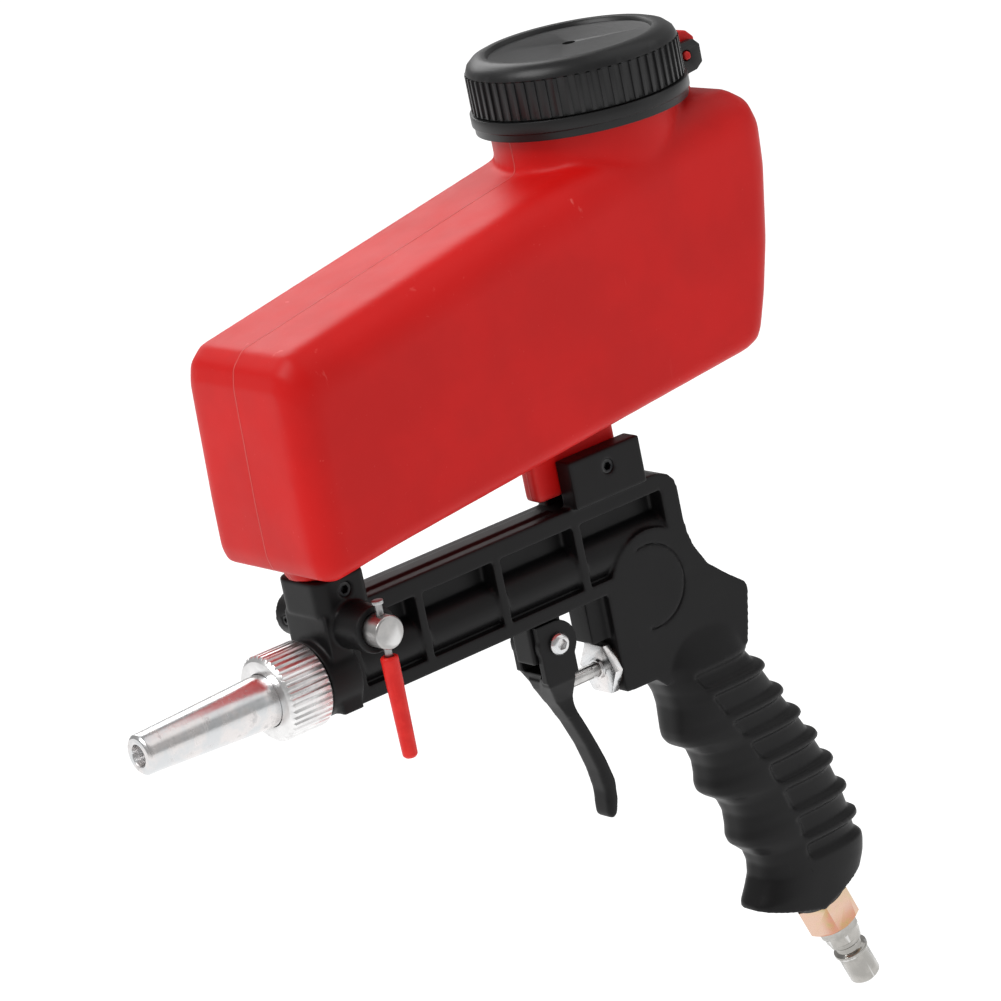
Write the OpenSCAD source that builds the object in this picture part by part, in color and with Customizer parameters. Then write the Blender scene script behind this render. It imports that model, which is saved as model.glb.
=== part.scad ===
// Gravity-feed hand blasting gun: a red hopper on a black moulded gun body.
// Millimetres. The blast axis is the X axis, the nozzle mouth is at the origin and the
// nozzle points along -X. +Z is up towards the hopper's cap. +Y is the holder's right.

/* [Nozzle and collar] */
// bore of the nozzle at its mouth
nozzle_bore = 7.5; // [4:0.5:9]
// outside diameter of the nozzle at its mouth
nozzle_tip_d = 13.5; // [11:0.5:16]
// outside diameter of the nozzle where it enters the collar
nozzle_big_d = 17.6; // [14:0.2:19]
// length of the nozzle in front of the collar
nozzle_len = 49.3; // [35:0.1:70]
// outside diameter of the collar nut
collar_d = 28.9; // [26:0.1:34]
// length of the collar nut
collar_len = 16.7; // [12:0.1:22]
// number of flutes round the collar nut
collar_flutes = 40; // [24:1:60]
// diameter of the spigot that the collar nut turns on
spigot_d = 22.6; // [20:0.1:25]

/* [Frame] */
// distance from the nozzle mouth to the frame's front face
frame_front = 73.3; // [60:0.1:95]
// length of the pocketed frame, from its front face to its rear corner
frame_len = 149; // [120:1:190]
// width of the frame
frame_w = 17; // [14:0.5:24]
// height of the frame's top above the blast axis
frame_top = 21.7; // [18:0.1:28]
// depth of the frame's underside below the blast axis
frame_bot = 11.5; // [10:0.1:16]
// diameter of the barrel tube that shows in the pockets
barrel_d = 16; // [13:0.5:18]
// thickness of the frame's cross ribs
rib_t = 3.1; // [2:0.1:5]
// thickness of the web between the two rows of pockets
web_t = 3; // [2:0.1:5]
// diameter of the round thumb pads
pad_d = 29.6; // [20:0.2:34]

/* [Hopper seats] */
// distance from the nozzle mouth to the sand passage
tower_x = 80; // [76:0.5:110]
// length of the front tower
tower_len = 19; // [18:0.5:24]
// width of the tower and of the rear clevis
seat_w = 24; // [20:0.5:30]
// height of the tower's top above the blast axis
tower_top = 33; // [30:0.5:40]
// length of the rear clevis
clevis_len = 30.3; // [20:0.1:40]
// height of the clevis above the blast axis
clevis_top = 38; // [32:0.5:46]
// width of the slot in the clevis
clevis_slot = 8.6; // [6:0.1:12]
// diameter of the headless hopper screws
screw_d = 4.8; // [3:0.1:6]

/* [Sand valve] */
// diameter of the sand valve's spool
spool_d = 11; // [9:0.1:13]
// diameter of the sand passage
sand_bore = 8; // [5:0.5:8.5]
// height of the spool's axis above the blast axis
spool_z = 16.5; // [14.5:0.1:17.5]
// reach of the near boss from the centre plane
boss_near = 25; // [20:0.1:30]
// reach of the far boss from the centre plane
boss_far = 20.5; // [18:0.1:26]
// diameter of the two bosses
boss_d = 15.6; // [14:0.1:18]
// reach of the spool's knob end in front of the near boss
knob_reach = 7.2; // [6:0.1:12]
// diameter of the lever rod
lever_d = 2.7; // [2:0.1:3.5]
// reach of the lever below the spool's axis
lever_len = 42.9; // [30:0.1:60]
// length of the lever's grip sleeve
sleeve_len = 34.5; // [20:0.5:40]
// largest diameter of the grip sleeve
sleeve_d = 5.9; // [5:0.1:8]

/* [Air valve and trigger] */
// distance from the nozzle mouth to the trigger's pivot
pivot_x = 159.3; // [150:0.1:165]
// depth of the pivot below the blast axis
pivot_drop = 20.1; // [18:0.1:24]
// depth of the valve's axis below the blast axis
valve_drop = 37.4; // [35:0.1:42]
// width of the lug that carries the trigger
lug_w = 9.6; // [7:0.1:11]
// thickness of each trigger cheek
cheek_t = 2.9; // [2:0.1:4]
// reach of the trigger's tip below the pivot
trigger_reach = 67.6; // [50:0.1:80]
// width of the trigger's blade
blade_w = 8; // [6:0.5:12]
// diameter of the pivot screw
pivot_d = 4; // [3:0.5:5]
// width across the flats of the gland nut
gland_af = 17; // [14:1:19]
// diameter of the valve stem
stem_d = 5; // [3.6:0.1:5.6]
// bore of the valve chamber
chamber_d = 13; // [11:0.5:15]
// bore of the air duct in the barrel tube
duct_d = 7; // [4:0.5:9]

/* [Grip and inlet] */
// width of the grip
grip_w = 27; // [22:0.5:34]
// lean of the inlet's axis from the vertical, in degrees
inlet_lean = 21; // [18:0.5:24]
// width across the flats of the inlet bush
bush_af = 19; // [17:1:22]
// bore of the air passage up the grip
grip_bore = 9; // [6:0.5:11]
// diameter of the quick plug's nose
plug_nose_d = 11.4; // [10:0.1:13]
// length of the quick plug's nose
plug_nose_len = 11.2; // [8:0.1:16]

/* [Hopper] */
// width of the hopper
hopper_w = 64.4; // [50:0.2:90]
// rounding of the hopper's long edges
hopper_r = 10; // [4:1:16]
// thickness of the hopper's wall
hopper_wall = 2.2; // [1.5:0.1:3]
// distance from the sand passage to the neck's axis
neck_x = 137.3; // [120:0.1:160]
// outside diameter of the neck
neck_d = 62.4; // [50:0.2:66]
// height of the neck's rim above the blast axis
neck_top = 165; // [158:0.1:180]
// thickness of the lug that stands in the clevis
hopper_lug_t = 7.8; // [5:0.1:8]

/* [Cap and tether] */
// outside diameter of the cap
cap_d = 71.2; // [70:0.2:80]
// height of the cap
cap_h = 17.9; // [16:0.1:26]
// number of ribs round the cap
cap_ribs = 60; // [36:2:90]
// diameter of the vent hole
vent_d = 4.4; // [2:0.2:6]
// height of the tether's band
band_h = 6.6; // [4:0.1:10]
// diameter of the tether's band
band_d = 72.8; // [71:0.2:80]

/* [Hidden] */
$fn = 64;
run = 0.05;       // radial clearance of a part that turns or slides in its bore
fit = 0.3;        // clearance between parts of different bodies
thr = 0.03;       // radial clearance drawn in a plain thread

collar_x0 = nozzle_len;
collar_x1 = collar_x0 + collar_len;
collar_wall = 2.6;
flange_x0 = collar_x0 + collar_wall + 0.1;
flange_t = 2.8;
nseal_t = 1.5;
spigot_x0 = flange_x0 + flange_t + nseal_t;
spigot_bore = 13;
tail_x = spigot_x0 + 7;
shoulder_x0 = collar_x1 + 1;
frame_rear = frame_front + frame_len;
fh = frame_w/2;

strip_w = 6.4;
top_t = 6.2;
bot_t = 4.8;
pocket_z0 = -frame_bot + bot_t;
pocket_z1 = frame_top - top_t;
bay = (frame_len - 149)/4;
rib_x = [frame_front + 9.7 - rib_t/2, frame_front + 35.7 + bay, frame_front + 68.1 + 2*bay,
         frame_front + 102.2 + 3*bay, frame_front + 139.2 + 4*bay + rib_t/2];
// the trigger, the valve and the grip all move with the frame's length
gx = frame_rear - 222.3;
pvx = pivot_x + gx;
pad_x = 201 + gx;
pad_z = -15;

sh = seat_w/2;
tower_x0 = tower_x - 10.3;
tower_x1 = tower_x0 + tower_len;
socket_d = 16.4;
socket_z = 24.5;
clevis_x0 = 175 + gx;
clevis_x1 = clevis_x0 + clevis_len;
rscrew_x = clevis_x0 + 15.7;
rscrew_z = clevis_top - 6.2;
fscrew_z = tower_top - 4.8;

bore_near = boss_near;
bore_far = boss_far - 2.4;
spool_far = bore_far - 0.4;
knob_y = -(boss_near + knob_reach);
rod_y = -(boss_near + knob_reach/2 - 0.1);
oring_y = sand_bore/2 + 4.2;
groove_y = spool_far - 2.6;
oring_s = 0.6;

jet_x0 = tower_x + 4.4;
jet_seat_x = tower_x + sand_bore/2 + 7;
jet_x1 = jet_seat_x + 12;
jet_d = 10;

gland_x = 182.8 + gx;
gland_hex_t = 4;
gland_tail = 9;
lug_x = 175.2 + gx;
seat_x = 200 + gx;
seat_t = 3;
poppet_x = seat_x + seat_t + 0.06;
chamber_x1 = 219 + gx;
riser_x = 197.2 + gx;
stem_tip = 164.2 + gx;
stem_r = stem_d/2;
neck_r = stem_r - 0.5;   // thinner end of the stem, inside the valve

// inlet axis: a point on it, and the places of the pieces along it
inl_x = 254.1 + gx;
inl_z = -153.7;
face_d = -5.2;
bush_d0 = -4;
bush_d1 = 8;
bush_tail = 20;
pass_d = -(inl_z*-1 - valve_drop)/cos(inlet_lean);

// half widths of the grip's steps, each with how far its outline is drawn in
gh = grip_w/2;
grip_step = [[gh - 4.5, 0], [gh - 3, 0.7], [gh - 1.7, 1.8], [gh - 0.7, 3.4], [gh, 5.6]];

nk_x = tower_x + neck_x;
cap_z0 = neck_top - 13.2;
cap_z1 = cap_z0 + cap_h;
band_z1 = cap_z0 - fit;
band_z0 = band_z1 - band_h;
neck_bore = neck_d - 4.8;
gasket_t = 1.5;

// which node to draw

// a cylinder along X between two stations
module xcyl(x0, x1, r) {
    translate([x0, 0, 0]) rotate([0, 90, 0]) cylinder(h = x1 - x0, r = r);
}

// a cylinder along Y between two stations, at a place in the side view
module ycyl(x, z, y0, y1, r) {
    translate([x, y0, z]) rotate([-90, 0, 0]) cylinder(h = y1 - y0, r = r);
}

// a flat shape of the side view, extruded between two stations of Y
module side(y0, y1) {
    translate([0, y1, 0]) rotate([90, 0, 0]) linear_extrude(height = y1 - y0) children();
}

// a ring turned about X: list of [x, r]
module xturn(pts) {
    rotate([0, 90, 0]) rotate_extrude() polygon([for (p = pts) [p[1], p[0]]]);
}

// a place along the inlet's axis, with local +Z running out of the grip
module on_inlet(d) {
    translate([inl_x, 0, inl_z]) rotate([0, 180 - inlet_lean, 0]) translate([0, 0, d]) children();
}

// a washer in local coordinates
module ring(h, ro, ri) {
    difference() {
        cylinder(h = h, r = ro);
        translate([0, 0, -1]) cylinder(h = h + 2, r = ri);
    }
}

// a hexagon bar in local coordinates, from its width across the flats
module hexbar(h, af) {
    cylinder(h = h, r = af/2/cos(30), $fn = 6);
}

// ---------------------------------------------------------------- gun body

// side outline of the rear of the frame, the valve housing and the grip
module rear_outline() {
    translate([gx, 0]) polygon([[170, -frame_bot], [gland_x - gx, -frame_bot],
        [gland_x - gx, -valve_drop - 9], [196, -46.8], [199.5, -50], [202, -56],
        [202.8, -61], [202.2, -66.4], [201.6, -72], [203.2, -75.6], [208, -77.5], [211, -80.5],
        [212.4, -86], [212, -91], [211.2, -94.6], [212.6, -97.6], [216.5, -99.8],
        [219.8, -102.6], [221.3, -108], [220.8, -114], [220, -117.6], [221.4, -120.4],
        [224.4, -122], [226.6, -124.6], [227.4, -129], [226.6, -134], [224, -138.6],
        [221.4, -142.4], [222.6, -144.8], [227.6, -147], [235.7, -149.8], [243, -151.4],
        [250, -149], [266, -142.6], [271.4, -138.6], [273.4, -134], [273, -129],
        [272.6, -120], [270, -110], [266, -98.6], [261, -88], [255.4, -77.6], [249.6, -67.4],
        [243.4, -57], [238.4, -48.6], [237, -45.6], [238.6, -40.6], [241.2, -29.8], [240.6, -27.2],
        [233.8, -22], [226.4, -15.5], [221.9, -7.5], [220.3, -1.8], [219.8, 4],
        [219.8, 13.4], [219.2, 17], [216.6, 19.8], [212, 21.4], [208, frame_top], [170, frame_top]]);
}

// the grip alone: the part of that outline below the horn
module grip_outline() {
    intersection() {
        rear_outline();
        translate([gx, 0]) polygon([[194, -55.2], [246, -33.8], [262, -27.2],
            [290, -100], [280, -160], [210, -160], [190, -60]]);
    }
}

module grip_ribs(w) {
    crest = [[244.4, -57.8], [250.3, -69.3], [255.9, -79.4], [261.5, -90], [266.4, -100.9],
             [269.9, -112.6], [272.6, -123.6]];
    for (c = crest) ycyl(c[0] + gx - 1.6, c[1], -w, w, 2.6);
}

module pockets(s) {
    // one row of side pockets; s is the side, -1 near and 1 far
    for (i = [0:3]) {
        x0 = rib_x[i] + rib_t/2;
        x1 = rib_x[i + 1] - rib_t/2;
        difference() {
            translate([x0, s > 0 ? web_t/2 : -fh - 1, pocket_z0])
                cube([x1 - x0, fh + 1 - web_t/2, pocket_z1 - pocket_z0]);
            xcyl(x0 - 1, x1 + 1, barrel_d/2);
            if (i == 0) ycyl(tower_x, spool_z, -40, 40, boss_d/2);
            if (i == 3) ycyl(pad_x + 2, pad_z + 1, -40, 40, 18.5);
        }
    }
}

module gun_body() color([0.09, 0.09, 0.1]) difference() {
    union() {
        // frame
        translate([frame_front, -fh, -frame_bot])
            cube([172 + gx - frame_front, frame_w, frame_top + frame_bot]);
        side(-fh, fh) rear_outline();
        // grip, in steps of width that round its edges
        for (i = [0:len(grip_step) - 1]) side(-grip_step[i][0], grip_step[i][0])
            offset(delta = -grip_step[i][1]) grip_outline();
        grip_ribs(grip_w/2 - 3.5);
        // block under the tower
        translate([tower_x0 + 0.5, 0.8 - sh, -frame_bot])
            cube([8, seat_w - 1.6, frame_top + frame_bot]);
        // front shoulder and the spigot for the collar nut
        xcyl(shoulder_x0, frame_front + 6, 13);
        xcyl(spigot_x0, shoulder_x0 + 1, spigot_d/2);
        // tower for the hopper's outlet
        hull() for (cx = [tower_x0 + 5, tower_x1 - 2.5], cy = [-1, 1]) {
            r = cx < tower_x ? 5 : 2.5;
            translate([cx, cy*(sh - r), frame_top - 0.2])
                cylinder(h = tower_top - frame_top + 0.2, r = r, $fn = 32);
        }
        // raised strip along the frame's top
        translate([tower_x1 - 1, -strip_w/2, frame_top - 1]) cube([clevis_x0 - tower_x1 + 2, strip_w, 1.8]);
        // clevis for the hopper's rear lug
        translate([clevis_x0, -sh, frame_top - 0.2]) cube([clevis_len, seat_w, clevis_top - frame_top + 0.2]);
        // bosses for the sand valve
        ycyl(tower_x, spool_z, -boss_near, boss_far, boss_d/2);
        // narrow lug in front of the valve housing
        translate([lug_x, -5.2, -valve_drop + 10.4])
            cube([gland_x - lug_x + 2, 10.4, valve_drop - 10.4 - frame_bot + 1]);
        // trigger lug
        translate([pvx - 8.8, -lug_w/2, -pivot_drop - 5.4]) cube([14, lug_w, pivot_drop + 5.4 - frame_bot + 1]);
    }
    pockets(-1);
    pockets(1);
    // shallow groove round each thumb pad
    for (s = [-1, 1]) intersection() {
        difference() {
            ycyl(pad_x, pad_z, s > 0 ? fh - 0.6 : -fh - 1, s > 0 ? fh + 1 : -fh + 0.6, pad_d/2);
            ycyl(pad_x, pad_z, -20, 20, pad_d/2 - 0.8);
        }
        translate([pad_x - 4, -20, pad_z - 22]) cube([30, 40, 40]);
    }
    // spigot bore, mixing chamber, jet thread and air duct
    xcyl(spigot_x0 - 1, jet_seat_x, spigot_bore/2);
    xcyl(jet_seat_x - 1, jet_x1, jet_d/2 + thr);
    xcyl(jet_x1 - 1, riser_x + duct_d/2, duct_d/2);
    // sand passage, outlet socket and the spool's cross bore
    translate([tower_x, 0, 0]) cylinder(h = socket_z + 1, r = sand_bore/2);
    translate([tower_x, 0, socket_z]) cylinder(h = 30, r = socket_d/2);
    ycyl(tower_x, spool_z, -boss_near - 1, bore_far, spool_d/2 + run);
    // holes for the headless screws
    ycyl(tower_x, fscrew_z, -sh - 1, -socket_d/2 + 1.2, screw_d/2 + thr);
    ycyl(rscrew_x, rscrew_z, -sh - 1, clevis_slot/2 + 5, screw_d/2 + thr);
    translate([tower_x - 12, groove_y, spool_z]) rotate([0, 90, 0]) cylinder(h = 8, r = 1.5 + thr);
    // slot of the clevis
    translate([clevis_x0 - 5, -clevis_slot/2, frame_top]) cube([clevis_len + 10, clevis_slot, 40]);
    // trigger pivot
    ycyl(pvx, -pivot_drop, -lug_w, lug_w, pivot_d/2 + thr);
    // valve chamber, riser to the duct, and the air passage up the grip
    translate([0, 0, -valve_drop]) xcyl(gland_x - 1, chamber_x1, chamber_d/2);
    translate([riser_x, 0, -valve_drop]) cylinder(h = valve_drop, r = 2.6);
    on_inlet(pass_d) cylinder(h = -pass_d + face_d, r = grip_bore/2);
    on_inlet(face_d - bush_tail - 1) cylinder(h = bush_tail + 30, r = 8 + thr);
    on_inlet(face_d) cylinder(h = 30, r = 12.4);
}

// ---------------------------------------------------------------- nozzle and collar

module nozzle() color([0.78, 0.8, 0.82]) xturn([
    [0, nozzle_bore/2], [0, nozzle_tip_d/2 - 0.9], [0.9, nozzle_tip_d/2],
    [4.5, nozzle_tip_d/2 + 0.1], [nozzle_len - 4, nozzle_big_d/2], [flange_x0, nozzle_big_d/2],
    [flange_x0, spigot_d/2 - 0.3], [flange_x0 + flange_t, spigot_d/2 - 0.3],
    [flange_x0 + flange_t, spigot_bore/2 - fit], [tail_x, spigot_bore/2 - fit],
    [tail_x, spigot_bore/2 - 1], [nozzle_len - 17, nozzle_bore/2]]);

module nozzle_seal() color([0.12, 0.12, 0.12]) difference() {
    xcyl(flange_x0 + flange_t, spigot_x0, spigot_d/2 - 0.4);
    xcyl(flange_x0, spigot_x0 + 1, spigot_bore/2);
}

module collar_nut() color([0.83, 0.83, 0.84]) difference() {
    xturn([[collar_x0, nozzle_big_d/2 + fit], [collar_x0, collar_d/2 - 1.5],
           [collar_x0 + 0.9, collar_d/2 - 0.5], [collar_x0 + 1.4, collar_d/2],
           [collar_x1 - 0.8, collar_d/2], [collar_x1, collar_d/2 - 0.8],
           [collar_x1, spigot_d/2 + run], [collar_x0 + collar_wall, spigot_d/2 + run],
           [collar_x0 + collar_wall, nozzle_big_d/2 + fit]]);
    for (i = [0:collar_flutes - 1]) rotate([i*360/collar_flutes, 0, 0])
        translate([collar_x0 - 1, 0, collar_d/2 + 0.15]) rotate([45, 0, 0])
            translate([0, -0.55, -0.55]) cube([collar_len + 2, 1.1, 1.1]);
}

// ---------------------------------------------------------------- jet

module air_jet() color([0.8, 0.66, 0.3]) xturn([
    [jet_x0, 1.6], [jet_x0, 2.6], [jet_x0 + 1.2, 3.2], [jet_seat_x - 1.6, 3.4],
    [jet_seat_x - 1.6, jet_d/2 + 0.8], [jet_seat_x - 0.9, jet_d/2 + 0.8],
    [jet_seat_x - 0.9, jet_d/2], [jet_x1 - 0.2, jet_d/2], [jet_x1 - 0.2, duct_d/2],
    [jet_seat_x + 3, duct_d/2 - 0.4], [jet_x0 + 4, 1.6]]);

module jet_seal() color([0.12, 0.12, 0.12]) difference() {
    xcyl(jet_seat_x - 0.9, jet_seat_x, jet_d/2 + 1);
    xcyl(jet_seat_x - 2, jet_seat_x + 1, jet_d/2 + 0.02);
}

// ---------------------------------------------------------------- sand valve

module sand_valve_spool() color([0.72, 0.72, 0.72]) difference() {
    union() {
        translate([tower_x, 0, spool_z]) rotate([-90, 0, 0]) rotate_extrude() polygon([
            [0, knob_y], [spool_d/2 - 0.5, knob_y], [spool_d/2, knob_y + 0.5],
            [spool_d/2, -oring_y - 0.7], [spool_d/2 - 1.22, -oring_y - 0.7],
            [spool_d/2 - 1.22, -oring_y + 0.7], [spool_d/2, -oring_y + 0.7],
            [spool_d/2, oring_y - 0.7], [spool_d/2 - 1.22, oring_y - 0.7],
            [spool_d/2 - 1.22, oring_y + 0.7], [spool_d/2, oring_y + 0.7],
            [spool_d/2, groove_y - 1.7], [spool_d/2 - 1.2, groove_y - 1.7],
            [spool_d/2 - 1.2, groove_y + 1.7], [spool_d/2, groove_y + 1.7],
            [spool_d/2, spool_far - 0.4], [spool_d/2 - 0.4, spool_far], [0, spool_far]]);
    }
    translate([tower_x, 0, spool_z - 10]) cylinder(h = 20, r = sand_bore/2);
    translate([tower_x, rod_y, spool_z - 10]) cylinder(h = 20, r = lever_d/2 + 0.02);
}

module spool_o_rings() color([0.1, 0.1, 0.1]) for (y = [-oring_y, oring_y])
    translate([tower_x, y, spool_z]) rotate([90, 0, 0]) rotate_extrude()
        translate([spool_d/2 - oring_s, 0]) circle(r = oring_s, $fn = 24);

module spool_retaining_screw() color([0.25, 0.25, 0.27])
    translate([tower_x, groove_y, spool_z]) rotate([0, -90, 0]) difference() {
        union() {
            translate([0, 0, spool_d/2 - 0.9]) cylinder(h = 1.2, r = 1);
            translate([0, 0, spool_d/2 + run]) cylinder(h = 1.9, r = 1.5);
        }
        translate([0, 0, spool_d/2 + 0.9]) hexbar(3, 1.5);
    }

module lever_rod() color([0.6, 0.6, 0.6]) translate([tower_x, rod_y, 0]) union() {
    translate([0, 0, spool_z - lever_len + 1.5]) cylinder(h = lever_len + 8.2, r = lever_d/2);
    translate([0, 0, spool_z + 9.2]) cylinder(h = 1.2, r = lever_d/2 + 0.6);
}

module lever_sleeve() color([0.85, 0.08, 0.06]) translate([tower_x, rod_y, spool_z - lever_len])
    rotate_extrude() polygon([[0, 0], [sleeve_d/2 - 1.2, 0], [sleeve_d/2 - 0.45, 0.9],
        [sleeve_d/2 - 0.4, 3], [sleeve_d/2, sleeve_len - 0.5], [sleeve_d/2 - 0.4, sleeve_len],
        [lever_d/2 + 0.02, sleeve_len], [lever_d/2 + 0.02, 1.4], [0, 1.4]]);

// ---------------------------------------------------------------- hopper screws

// a headless socket screw along Y, its socket facing -Y
module headless(y0, y1, r) {
    difference() {
        translate([0, y0, 0]) rotate([-90, 0, 0]) cylinder(h = y1 - y0, r = r);
        translate([0, y0 - 1, 0]) rotate([-90, 0, 0]) hexbar(3.4, r*1.05);
    }
}

module hopper_front_screw() color([0.2, 0.2, 0.22])
    translate([tower_x, 0, fscrew_z]) headless(-sh + 0.6, -socket_d/2 + 0.12, screw_d/2);

module hopper_rear_screw() color([0.2, 0.2, 0.22])
    translate([rscrew_x, 0, rscrew_z]) headless(-sh + 0.6, clevis_slot/2 + 4.6, screw_d/2);

// ---------------------------------------------------------------- trigger

module trigger() color([0.09, 0.09, 0.1]) {
    ci = lug_w/2 + fit;
    co = ci + cheek_t;
    bh = blade_w/2;
    k = trigger_reach/67.6;
    difference() {
        union() {
            for (s = [-1, 1]) side(s < 0 ? -co : ci, s < 0 ? -ci : co) union() {
                translate([pvx, -pivot_drop]) circle(r = 7.9);
                translate([pvx - 7.4, -pivot_drop - (s < 0 ? 12 : 9.4)]) square([13.6, s < 0 ? 12 : 9.4]);
                translate([pvx - 7.4, -pivot_drop - 1]) square([7.4, 8.9]);
            }
            // root of the blade, tapering from the fork
            hull() {
                side(-co, -bh) translate([pvx, -pivot_drop])
                    polygon([[-7.4, -10.4], [-6.8, -13.5], [4.4, -13.5], [4.4, -10.4]]);
                side(-bh, bh) translate([pvx, -pivot_drop])
                    polygon([[-3.8, -18.5], [-2.6, -21], [4.6, -21], [4.4, -16.5]]);
            }
            hull() {
                side(-bh, co) translate([pvx, -pivot_drop])
                    polygon([[-6.6, -9.4], [-4.6, -11], [4.4, -11], [4.4, -9.4]]);
                side(-bh, bh) translate([pvx, -pivot_drop])
                    polygon([[-5.4, -13.5], [-3.6, -17.5], [4.4, -17.5], [4.4, -13.5]]);
            }
            side(-bh, bh) translate([pvx, -pivot_drop]) polygon([[-6.6, -12], [-5.4, -15.6],
                [-2.6, -21], [2.6, -30*k], [6.6, -40*k], [9.4, -50*k], [10.6, -58*k],
                [10, -64.5*k], [9.9, -66.6*k], [10.9, -67.6*k], [12.6, -66.4*k], [14, -61.5*k],
                [14.4, -55*k], [12.4, -47*k], [10.2, -40.5*k], [8, -34.5*k], [5, -27*k],
                [4.5, -23], [4.5, -15], [5.4, -12]]);
        }
        ycyl(pvx, -pivot_drop, -20, 20, pivot_d/2 + run);
    }
}

module trigger_pivot_screw() color([0.75, 0.76, 0.76]) {
    co = lug_w/2 + fit + cheek_t;
    difference() {
        union() {
            ycyl(pvx, -pivot_drop, -co - 0.1, co + 3.4, pivot_d/2);
            translate([pvx, -co - 0.1, -pivot_drop]) rotate([90, 0, 0]) rotate_extrude()
                polygon([[0, 0], [3.8, 0], [3.8, 0.9], [3.1, 1.9], [2.4, 2.2], [0, 2.2]]);
        }
        translate([pvx, -co - 0.1, -pivot_drop]) rotate([90, 0, 0]) translate([0, 0, 0.5]) hexbar(3, 3.4);
    }
}

module trigger_pivot_nut() color([0.75, 0.76, 0.76]) {
    co = lug_w/2 + fit + cheek_t;
    translate([pvx, co + 0.1, -pivot_drop]) rotate([-90, 0, 0]) difference() {
        hexbar(3.1, 7);
        translate([0, 0, -1]) cylinder(h = 6, r = pivot_d/2 + thr);
    }
}

// ---------------------------------------------------------------- air valve

module valve_gland_nut() color([0.8, 0.8, 0.78]) translate([0, 0, -valve_drop]) difference() {
    union() {
        translate([gland_x - gland_hex_t, 0, 0]) rotate([0, 90, 0]) rotate([0, 0, 30])
            hexbar(gland_hex_t - 0.9, gland_af);
        xcyl(gland_x - gland_hex_t - 1.1, gland_x, 3.6);
        xcyl(gland_x - 1, gland_x + gland_tail, chamber_d/2 - thr);
    }
    xcyl(gland_x - 20, gland_x + 20, stem_r + run);
    xcyl(gland_x + gland_tail - 2, gland_x + gland_tail + 1, stem_r + 1.85);
}

module gland_washer() color([0.75, 0.4, 0.2]) translate([0, 0, -valve_drop]) difference() {
    xcyl(gland_x - 0.9, gland_x, gland_af/2 - 1);
    xcyl(gland_x - 2, gland_x + 1, chamber_d/2);
}

module stem_seal() color([0.1, 0.1, 0.1]) translate([gland_x + gland_tail - 1, 0, -valve_drop])
    rotate([0, 90, 0]) rotate_extrude() translate([stem_r + run + 0.9, 0]) circle(r = 0.88, $fn = 24);

module valve_stem() color([0.72, 0.72, 0.7]) translate([0, 0, -valve_drop]) difference() {
    xturn([
    [stem_tip, 0], [stem_tip, stem_r - 0.9], [stem_tip + 0.8, stem_r],
    [gland_x + gland_tail + 3.6, stem_r], [gland_x + gland_tail + 4.1, neck_r],
    [poppet_x + 1.9, neck_r], [poppet_x + 1.9, 4.6], [poppet_x + 3.4, 4.6],
    [poppet_x + 3.4, 1.8], [poppet_x + 6, 1.8], [poppet_x + 6.6, 1.2], [poppet_x + 6.6, 0]]);
    // lengthwise grooves at the end that the trigger pushes
    for (a = [45:90:315]) rotate([a, 0, 0])
        translate([stem_tip - 1, -0.35, stem_r - 0.45]) cube([12, 0.7, 2]);
}

module valve_poppet() color([0.1, 0.1, 0.1]) translate([0, 0, -valve_drop]) difference() {
    xcyl(poppet_x, poppet_x + 1.88, 4.7);
    xcyl(poppet_x - 1, poppet_x + 3, neck_r + 0.01);
}

module valve_seat() color([0.8, 0.66, 0.3]) translate([0, 0, -valve_drop]) xturn([
    [seat_x, 3.2], [seat_x, chamber_d/2 - 0.02], [seat_x + seat_t - 0.8, chamber_d/2 - 0.02],
    [seat_x + seat_t - 0.8, 4.6], [seat_x + seat_t, 4], [seat_x + seat_t, 3.2]]);

module valve_spring() color([0.7, 0.7, 0.72]) {
    // a compression spring with flat ends, wound from square wire
    x0 = poppet_x + 3.4;
    len = chamber_x1 - x0 - 3.7;
    wire = 0.9;
    pitch = 2.3;
    span = 360*wire/pitch;
    translate([x0, 0, -valve_drop]) rotate([0, 90, 0])
        linear_extrude(height = len, twist = -360*(len - wire)/pitch, slices = 44, $fn = 4)
            polygon(concat([for (i = [0:8]) 2.85*[cos(i*span/8), sin(i*span/8)]],
                           [for (i = [8:-1:0]) 3.75*[cos(i*span/8), sin(i*span/8)]]));
}

// ---------------------------------------------------------------- inlet

module inlet_bush() color([0.8, 0.66, 0.42]) difference() {
    union() {
        on_inlet(bush_d0) hexbar(bush_d1 - bush_d0, bush_af);
        on_inlet(face_d - bush_tail) cylinder(h = bush_tail + 2, r = 8);
    }
    on_inlet(bush_d1 - 15) cylinder(h = 20, r = 6);
    on_inlet(-40) cylinder(h = 60, r = 3.8);
    // corners turned off at the outer end
    on_inlet(bush_d1 - 1.2) difference() {
        cylinder(h = 3, r = 20);
        cylinder(h = 1.2, r1 = bush_af/2/cos(30), r2 = bush_af/2 + 0.1);
    }
}

module inlet_washer() color([0.12, 0.12, 0.12]) on_inlet(face_d + 0.02)
    ring(bush_d0 - face_d - 0.04, 10.2, 8.1);

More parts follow.
